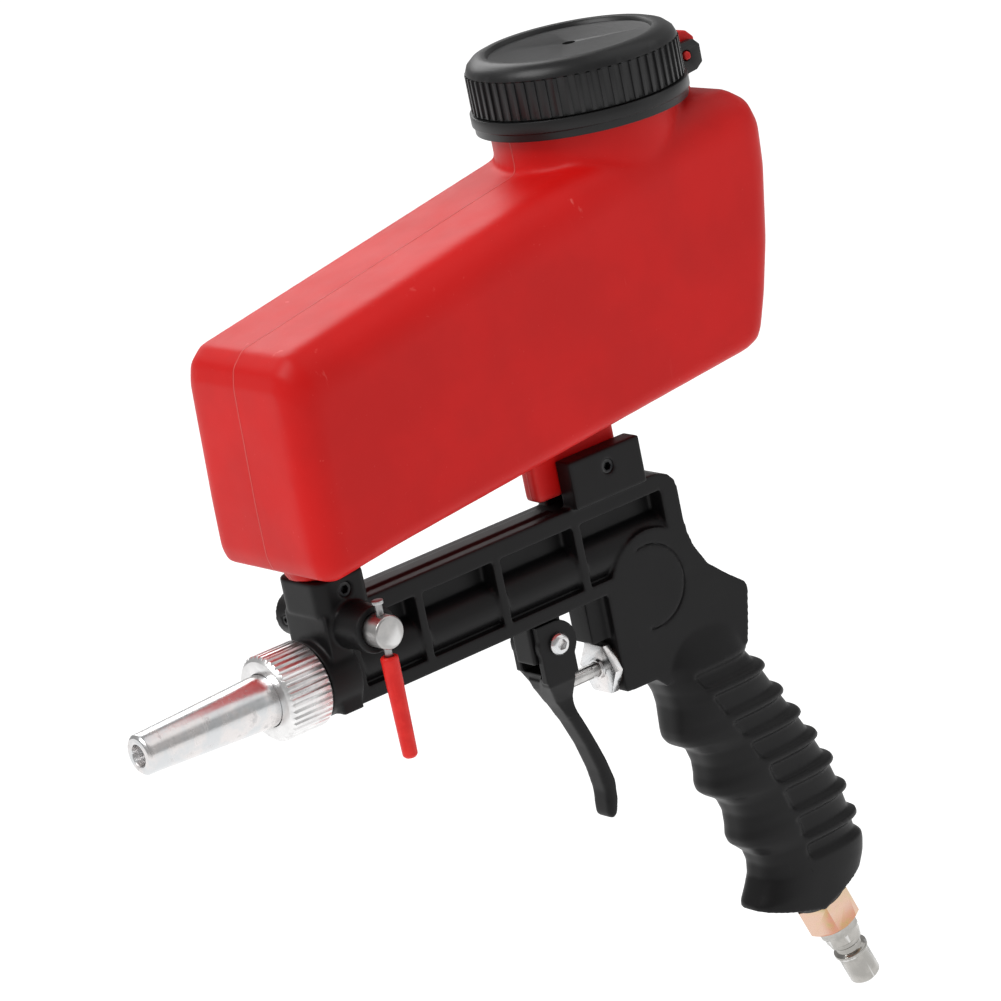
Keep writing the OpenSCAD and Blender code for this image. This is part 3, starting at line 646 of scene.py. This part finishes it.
@dataclass
class GunBody:
    """The black moulding: frame, seats, valve housing and grip. Sizes in millimetres.

    The tables front and rear give the grip's edges in the side view, root the flat
    heel below the horn, and the chamber is the bore that the air valve sits in.
    """

    body: str = "gun"
    voxel: float = 0.56
    grip_half: float = 13.2
    rib_heights: tuple[float, ...] = (-57.8, -69.3, -79.4, -90.0, -100.9, -112.6, -123.6)
    panel_depth: float = 1.7
    panel_reach: float = 28.0
    rib_half: float = 1.9
    top: float = -24.0
    bottom: float = -153.0
    levels: int = 190
    sides: int = 112
    squareness: float = 2.7
    frame_half: float = 8.5
    root: tuple[Point, ...] = ((222.0, -30.0), (241.2, -29.8), (238.8, -40.6), (236.8, -48.4), (224.0, -48.4))
    pad: Point = (201.0, -15.0)
    pad_r: float = 14.8
    groove_width: float = 0.75
    groove_depth: float = 0.45
    valve_z: float = -37.4
    chamber_r: float = 6.6
    chamber_span: Point = (183.4, 219.25)
    recess_face: Point = (254.1, -153.7)
    recess_r: float = 12.4
    recess_depth: float = 5.2
    front: tuple[Point, ...] = (
        (-24.0, 197.0), (-46.0, 197.5), (-50.0, 199.8), (-56.0, 202.6), (-61.0, 203.5), (-66.4, 203.0), (-70.0, 202.6),
        (-73.0, 202.8), (-75.6, 204.4), (-77.5, 207.8), (-80.5, 211.6), (-86.0, 213.2), (-91.0, 212.8),
        (-94.0, 212.2), (-96.6, 212.7), (-98.6, 214.8), (-100.4, 217.8), (-103.0, 220.4), (-108.0, 222.1),
        (-114.0, 221.6), (-117.0, 221.0), (-119.6, 221.8), (-121.6, 224.0), (-124.6, 227.0), (-129.0, 228.1),
        (-134.0, 227.2), (-138.6, 224.6), (-142.4, 222.1), (-146.0, 221.8), (-153.0, 223.4),
    )
    rear: tuple[Point, ...] = (
        (-24.0, 229.0), (-27.0, 233.0), (-31.0, 239.4), (-40.0, 239.6), (-47.0, 238.6), (-49.0, 238.6),
        (-57.8, 244.2), (-69.3, 250.2), (-79.4, 255.8), (-90.0, 261.4), (-100.9, 266.3), (-112.6, 270.0),
        (-123.6, 272.4), (-129.0, 272.8), (-134.0, 273.0), (-138.2, 272.2), (-142.0, 270.5), (-153.0, 266.0),
    )

    def _rib(self, height: float) -> float:
        """How much of a rib there is at a height, from 0 between ribs to 1 on one."""
        near = min(abs(height - rib) for rib in self.rib_heights)
        return 1.0 - eased(near, self.rib_half * 0.55, self.rib_half * 1.1)

    def _shape(self, angle: float, height: float) -> tuple[float, float]:
        """The grip's surface at an angle round a level section.

        Args:
            angle: Angle round the section from +X, in radians.
            height: Height of the section, in millimetres.

        Returns:
            x and y in millimetres.
        """
        front, rear = between(self.front, height), between(self.rear, height)
        ribbed = eased(height, -132.0, -129.0) * eased(-height, 49.0, 52.0)
        rib = self._rib(height)
        rear -= 1.9 * ribbed * (1 - rib)
        half = 8.0 + (self.grip_half - 8.0) * eased(-height, 30.0, 62.0)
        half -= 0.9 * eased(-height, 100.0, 150.0)
        c, s = math.cos(angle), math.sin(angle)
        power = 2 / self.squareness
        x = (front + rear) / 2 + (rear - front) / 2 * math.copysign(abs(c) ** power, c)
        y = half * math.copysign(abs(s) ** (power * 0.92), s)
        behind = eased(x, rear - self.panel_reach - 1.0, rear - self.panel_reach + 0.6)
        y -= math.copysign(self.panel_depth * ribbed * (1 - rib) * behind, y) * min(1.0, abs(y) / 4)
        return x, y

    def grip(self) -> bmesh.types.BMesh:
        """The grip as a stack of level sections."""
        bm = bmesh.new()
        bmesh.ops.create_cone(
            bm, cap_ends=True, segments=self.sides, radius1=MM, radius2=MM, depth=MM
        )
        upright = [e for e in bm.edges if abs(e.verts[0].co.z - e.verts[1].co.z) > MM / 2]
        bmesh.ops.subdivide_edges(bm, edges=upright, cuts=self.levels)
        for vert in bm.verts:
            share = 0.5 - vert.co.z / MM
            height = self.top + (self.bottom - self.top) * share
            x, y = self._shape(math.atan2(vert.co.y, vert.co.x), height)
            vert.co = (x * MM, y * MM, height * MM)
        for point, normal in (
            ((221.0, -143.6), (-0.30, -1.0)), ((243.0, -151.0), (0.0, -1.0)), ((250.0, -149.2), (0.36, -1.0)),
            ((268.8, -140.8), (0.78, -0.78)),
        ):
            sliced = bmesh.ops.bisect_plane(
                bm,
                geom=bm.verts[:] + bm.edges[:] + bm.faces[:],
                plane_co=(point[0] * MM, 0, point[1] * MM),
                plane_no=Vector((normal[0], 0, normal[1])).normalized(),
                clear_outer=True,
            )
            rim = [e for e in sliced["geom_cut"] if isinstance(e, bmesh.types.BMEdge)]
            bmesh.ops.edgeloop_fill(bm, edges=rim)
        bmesh.ops.recalc_face_normals(bm, faces=bm.faces)
        return bm

    def frame_part(self) -> bmesh.types.BMesh:
        """The CAD moulding without its plain grip."""
        bm = cad_copy("gun_body")
        sliced = bmesh.ops.bisect_plane(
            bm,
            geom=bm.verts[:] + bm.edges[:] + bm.faces[:],
            plane_co=(200 * MM, 0, -50.5 * MM),
            plane_no=Vector((19.0, 0, -46.0)).normalized(),
            clear_outer=True,
        )
        rim = [e for e in sliced["geom_cut"] if isinstance(e, bmesh.types.BMEdge)]
        bmesh.ops.triangle_fill(bm, edges=rim, use_beauty=True)
        return bm

    def inlet_recess(self) -> bmesh.types.BMesh:
        """The round recess that the inlet bush sits in."""
        bm = bmesh.new()
        way = Vector((math.sin(INLET_LEAN), 0, -math.cos(INLET_LEAN)))
        at = Vector((self.recess_face[0], 0, self.recess_face[1]))
        rod(bm, at - way * self.recess_depth, at + way * 25, self.recess_r)
        return bm

    def chamber(self) -> bmesh.types.BMesh:
        """The bore that the valve's stem and poppet slide in."""
        bm = bmesh.new()
        start, end = self.chamber_span
        rod(bm, Vector((start, 0, self.valve_z)), Vector((end, 0, self.valve_z)), self.chamber_r)
        return bm

    def pad_groove(self, side: int) -> bmesh.types.BMesh:
        """The fine groove round the rear half of a thumb pad; side is -1 near and 1 far."""
        x, z = self.pad
        near, far = side * (self.frame_half - self.groove_depth), side * (self.frame_half + 3)
        bm = bmesh.new()
        rod(bm, Vector((x, near, z)), Vector((x, far, z)), self.pad_r, sides=128)
        hoop = as_object("hoop", bm)
        core = bmesh.new()
        rod(core, Vector((x, near * 0.5, z)), Vector((x, far * 1.5, z)), self.pad_r - self.groove_width, sides=128)
        cut(hoop, core)
        block = bmesh.new()
        bmesh.ops.create_cube(block, size=60 * MM)
        bmesh.ops.translate(block, verts=block.verts, vec=((x - 33) * MM, 0, z * MM))
        cut(hoop, block)
        tool = bmesh.new()
        tool.from_mesh(hoop.data)
        bpy.data.objects.remove(hoop)
        return tool

    def build(self) -> None:
        """Builds the moulding in two pieces that meet across the grip's root."""
        bm = self.frame_part()
        add_to(bm, self.grip())
        add_to(bm, extruded(self.root, -self.frame_half, self.frame_half))
        whole = melted("moulding", bm, self.voxel * MM, 4)
        cut(whole, self.inlet_recess())
        cut(whole, self.chamber())
        for side in (-1, 1):
            cut(whole, self.pad_groove(side))
        for name, side in (("gun_frame", 1), ("gun_grip", -1)):
            half = bmesh.new()
            half.from_mesh(whole.data)
            bmesh.ops.bisect_plane(
                half,
                geom=half.verts[:] + half.edges[:] + half.faces[:],
                plane_co=(210 * MM, 0, -40 * MM),
                plane_no=(0.0, 0.0, -float(side)),
                clear_outer=True,
            )
            piece = as_object(name, half)
            thin = piece.modifiers.new("thin", "DECIMATE")
            thin.ratio = 0.6
            settle(piece)
            smooth_shade(piece, 180)
            dress(piece, self.body, NYLON, ["gun_body"])
        bpy.data.objects.remove(whole)


@dataclass
class Hopper:
    """The red blow-moulded hopper with its neck, spout, lug and ear. Sizes in millimetres."""

    body: str = "gun"
    half: float = 32.2
    wall: float = 2.2
    neck_x: float = 217.3
    neck_r: float = 31.2
    neck_bore: float = 28.8
    neck_top: float = 165.0
    spout_x: float = 80.0
    voxel: float = 1.15
    inner_voxel: float = 1.6
    top_round: float = 15.0
    outline: tuple[Point, ...] = (
        (61.5, 44.0), (61.6, 60.0), (63.2, 100.0), (64.6, 106.0), (69.5, 110.6), (140.0, 124.1), (215.0, 138.4),
        (250.0, 142.4), (259.6, 141.6), (265.8, 137.0), (268.2, 129.6), (267.2, 116.0), (262.5, 92.0),
        (257.5, 75.0), (252.5, 62.0), (249.5, 58.0), (244.0, 56.0), (92.0, 40.4), (67.0, 37.0), (63.0, 39.0),
    )
    weights: tuple[float, ...] = (
        0.62, 0.62, 0.7, 0.85, 1.0, 1.0, 1.0, 0.95, 0.9, 0.8, 0.65, 0.6, 0.55, 0.5, 0.45, 0.4, 0.36, 0.36, 0.36, 0.45,
    )

    def _block(self, inset: float, rounding: float) -> bmesh.types.BMesh:
        """The hopper's box with its long edges rounded.

        Args:
            inset: How far it is drawn in all round, in millimetres.
            rounding: Largest radius of its edges, in millimetres.

        Returns:
            The rounded solid.
        """
        centre = Vector((165.0, 90.0))
        drawn = []
        for x, z in self.outline:
            way = centre - Vector((x, z))
            pull = Vector((math.copysign(inset, way.x), math.copysign(inset, way.y)))
            drawn.append((x + pull.x, z + pull.y))
        half = self.half - inset
        bm = extruded(drawn, -half, half)
        weight = bm.edges.layers.float.new("bevel_weight_edge")
        count = len(drawn)
        for edge in bm.edges:
            first, second = edge.verts
            if abs(first.co.y - second.co.y) > MM:
                continue
            middle = (first.co + second.co) / 2 / MM
            nearest = min(
                range(count),
                key=lambda i: (Vector(drawn[i]) / 2 + Vector(drawn[(i + 1) % count]) / 2 - middle.xz).length,
            )
            edge[weight] = (self.weights[nearest] + self.weights[(nearest + 1) % count]) / 2
        obj = as_object("block", bm)
        modifier = obj.modifiers.new("round", "BEVEL")
        modifier.limit_method = "WEIGHT"
        modifier.width = rounding * MM
        modifier.segments = 8
        modifier.use_clamp_overlap = False
        settle(obj)
        made = bmesh.new()
        made.from_mesh(obj.data)
        bpy.data.objects.remove(obj)
        return made

    def build(self) -> None:
        """Builds the hollow hopper and its ear."""
        bm = self._block(0.0, self.top_round)
        rod(bm, Vector((self.neck_x, 0, 125)), Vector((self.neck_x, 0, self.neck_top)), self.neck_r, sides=128)
        rod(bm, Vector((self.spout_x, 0, 33.2)), Vector((self.spout_x, 0, 48)), 11.4, 12.4)
        rod(bm, Vector((self.spout_x, 0, 26)), Vector((self.spout_x, 0, 40)), 8.0)
        lug = ((166.0, 60), (166.0, 26.5), (167.0, 25.5), (200.3, 25.5), (202.3, 27.5), (202.3, 64))
        add_to(bm, extruded(lug, -3.9, 3.9))
        shell = melted("hopper_shell", bm, self.voxel * MM, 8)
        inner = self._block(self.wall, self.top_round - 2)
        rod(inner, Vector((self.neck_x, 0, 120)), Vector((self.neck_x, 0, 180)), self.neck_bore, sides=96)
        rod(inner, Vector((self.spout_x, 0, 20)), Vector((self.spout_x, 0, 60)), 5.2)
        hollow = melted("hollow", inner, self.inner_voxel * MM, 6)
        tool = bmesh.new()
        tool.from_mesh(hollow.data)
        bpy.data.objects.remove(hollow)
        cut(shell, tool)
        smooth_shade(shell, 50)
        dress(shell, self.body, RED, ["hopper"])
        self.ear()

    def ear(self) -> None:
        """The ear behind the cap, with the nub that holds the tether."""
        edge = 217.3 + 36.4
        outline = (
            (0.8, 130), (0.8, 156), (2.4, 159.2), (6, 160.4), (10.4, 159.6), (13.2, 156.8), (13, 152), (9.4, 147),
            (7.6, 143), (8.6, 139), (12, 134), (12, 130),
        )
        bm = extruded([(edge + x, z) for x, z in outline], -2.4, 2.4)
        rod(bm, Vector((edge + 6.6, -5.9, 152)), Vector((edge + 6.6, -2, 152)), 1.5)
        piece = melted("hopper_ear", bm, 0.45 * MM, 4)
        dress(piece, self.body, RED, ["hopper"])


@dataclass
class Trigger:
    """The moulded trigger. Sizes in millimetres."""

    body: str = "trigger_body"
    voxel: float = 0.36
    plump: float = 0.55
    rounding: tuple[tuple[float, int], ...] = ((-36.0, 4), (-42.0, 7), (-48.0, 9))

    def build(self) -> None:
        """Softens the CAD trigger's corners, most of all along its blade."""
        piece = melted("trigger_moulding", cad_copy("trigger"), self.voxel * MM, 4)
        bm = bmesh.new()
        bm.from_mesh(piece.data)
        for vert in bm.verts:
            vert.co += vert.normal * self.plump * MM * (1.0 - eased(vert.co.z / MM, -50.0, -43.0))
        for height, rounds in self.rounding:
            blade = [v for v in bm.verts if v.co.z < height * MM]
            for _ in range(rounds):
                bmesh.ops.smooth_vert(bm, verts=blade, factor=0.5, use_axis_x=True, use_axis_y=True, use_axis_z=True)
        bm.to_mesh(piece.data)
        bm.free()
        dress(piece, self.body, NYLON, ["trigger"])


@dataclass
class Fittings:
    """The machined and plated pieces, each with the width of its broken edges in millimetres."""

    pieces: tuple[tuple[str, str, Finish, float], ...] = (
        ("nozzle", "nozzle_group", ZINC, 0.22),
        ("collar_nut", "collar", ALUMINIUM, 0.10),
        ("sand_valve_spool", "sand_valve", STEEL, 0.18),
        ("lever_rod", "sand_valve", STEEL_Z, 0.12),
        ("hopper_cap", "cap_body", CAP_BLACK, 0.22),
        ("cap_tether", "gun", CAP_BLACK, 0.25),
        ("trigger_pivot_screw", "gun", ZINC, 0.15),
        ("trigger_pivot_nut", "gun", ZINC, 0.2),
        ("valve_gland_nut", "gun", ZINC, 0.25),
        ("valve_stem", "stem_group", STEEL_X, 0.12),
        ("inlet_bush", "gun", RAINBOW, 0.3),
        ("quick_plug", "gun", NICKEL, 0.15),
        ("hopper_rear_screw", "gun", DARK_SCREW, 0.12),
        ("hopper_front_screw", "gun", DARK_SCREW, 0.12),
        ("spool_retaining_screw", "gun", DARK_SCREW, 0.08),
    )

    def build(self) -> None:
        """Breaks the edges of every fitting, rounds the dipped sleeve's tip and dresses them."""
        for node, body, finish, bevel in self.pieces:
            machined(node, body, finish, bevel * MM)
        sleeve = melted("lever_sleeve_piece", cad_copy("lever_sleeve"), 0.2 * MM, 18)
        dress(sleeve, "sand_valve", VINYL, ["lever_sleeve"])


@dataclass
class Inner:
    """The pieces inside the gun, which keep their CAD shape."""

    finishes: tuple[tuple[str, Finish], ...] = (
        ("cap_gasket", FOAM),
        ("outlet_gasket", RUBBER),
        ("spool_o_rings", RUBBER),
        ("nozzle_seal", RUBBER),
        ("jet_seal", RUBBER),
        ("stem_seal", RUBBER),
        ("valve_poppet", RUBBER),
        ("inlet_washer", RUBBER),
        ("air_jet", BRASS),
        ("valve_seat", BRASS),
        ("gland_washer", COPPER),
        ("valve_spring", STEEL_X),
    )

    def build(self) -> None:
        """Gives each node its finish."""
        for node, finish in self.finishes:
            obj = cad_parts[node]
            obj.data.materials.clear()
            obj.data.materials.append(MATERIALS.of(finish))
            for face in obj.data.polygons:
                face.material_index = 0
            LOG.info("%s: %s", node, finish.name)


# --------------------------------------------------------------------------- studio


@dataclass
class Studio:
    """The floor, the lights and the camera. Lengths in metres."""

    floor_z: float = -0.62
    floor_size: float = 14.0
    azimuth: float = math.radians(-34.81)
    elevation: float = math.radians(16.59)
    roll: float = math.radians(-11.72)
    stand: Vector = Vector((-0.6532, -1.1607, 0.4523))
    lens: float = 162.07
    centre: Vector = Vector((0.14, 0.0, 0.0))

    def floor(self) -> None:
        """A plain white floor."""
        bm = bmesh.new()
        bmesh.ops.create_grid(bm, x_segments=8, y_segments=8, size=self.floor_size / 2)
        bmesh.ops.translate(bm, verts=bm.verts, vec=(0, 0, self.floor_z))
        obj = as_object("floor", bm)
        s = Shader("floor_paint")
        patches = s.step(s.noise(0.5, 3), 0.3, 0.7)
        paint = s.mix(patches, (0.20, 0.20, 0.20, 1), (0.23, 0.23, 0.23, 1))
        glow = s.mix(patches, (0.97, 0.97, 0.97, 1), (1.0, 1.0, 1.0, 1))
        lit = s.close(Base_Color=paint, Roughness=0.9, Emission_Color=glow, Emission_Strength=1.0)
        obj.data.materials.append(lit)

    def lamp(self, name: str, place: Sequence[float], size: float, power: float) -> None:
        """Adds a square soft light aimed at the object's middle.

        Args:
            name: Name of the light.
            place: Where it stands.
            size: Width of its panel.
            power: Its power in watts.
        """
        data = bpy.data.lights.new(name, "AREA")
        data.shape = "SQUARE"
        data.size = size
        data.energy = power
        obj = bpy.data.objects.new(name, data)
        obj.location = place
        aim = self.centre - Vector(place)
        obj.rotation_euler = aim.to_track_quat("-Z", "Y").to_euler()
        bpy.context.scene.collection.objects.link(obj)

    def lights(self) -> None:
        """Four soft lights and an even white surround."""
        self.lamp("key", (-1.1, 0.15, 1.7), 1.2, 28.0)
        self.lamp("top", (1.0, -0.55, 1.45), 1.6, 6.0)
        self.lamp("side", (1.5, -1.6, 0.5), 1.0, 2.5)
        self.lamp("back", (0.6, 1.6, 1.2), 1.2, 12.0)
        world = bpy.data.worlds.new("surround")
        world.use_nodes = True
        ground = world.node_tree.nodes["Background"]
        ground.inputs["Color"].default_value = (1, 1, 1, 1)
        ground.inputs["Strength"].default_value = 0.40
        bpy.context.scene.world = world

    def camera(self) -> None:
        """The camera, at a long lens and a slight roll."""
        a, e, r = self.azimuth, self.elevation, self.roll
        back = Vector((math.sin(a) * math.cos(e), -math.cos(a) * math.cos(e), math.sin(e)))
        right = Vector((0, 0, 1)).cross(back).normalized()
        up = back.cross(right)
        turned = right * math.cos(r) + up * math.sin(r)
        risen = up * math.cos(r) - right * math.sin(r)
        data = bpy.data.cameras.new("camera")
        data.lens = self.lens
        data.sensor_width = 36.0
        data.clip_end = 50.0
        obj = bpy.data.objects.new("camera", data)
        pose = Matrix((turned, risen, back)).transposed().to_4x4()
        pose.translation = self.stand
        obj.matrix_world = pose
        bpy.context.scene.collection.objects.link(obj)
        bpy.context.scene.camera = obj

    def build(self) -> None:
        """Sets the whole studio up."""
        self.floor()
        self.lights()
        self.camera()
        bpy.context.scene.view_settings.view_transform = "Standard"
        bpy.context.scene.view_settings.look = "None"


def main() -> None:
    """Builds every sub-assembly, then the studio."""
    logging.basicConfig(level=logging.INFO, format="%(name)s %(message)s")
    builders: tuple[Callable[[], None], ...] = (
        GunBody().build, Hopper().build, Trigger().build, Fittings().build, Inner().build, Studio().build,
    )
    for build in builders:
        build()


if __name__ == "__main__":
    main()
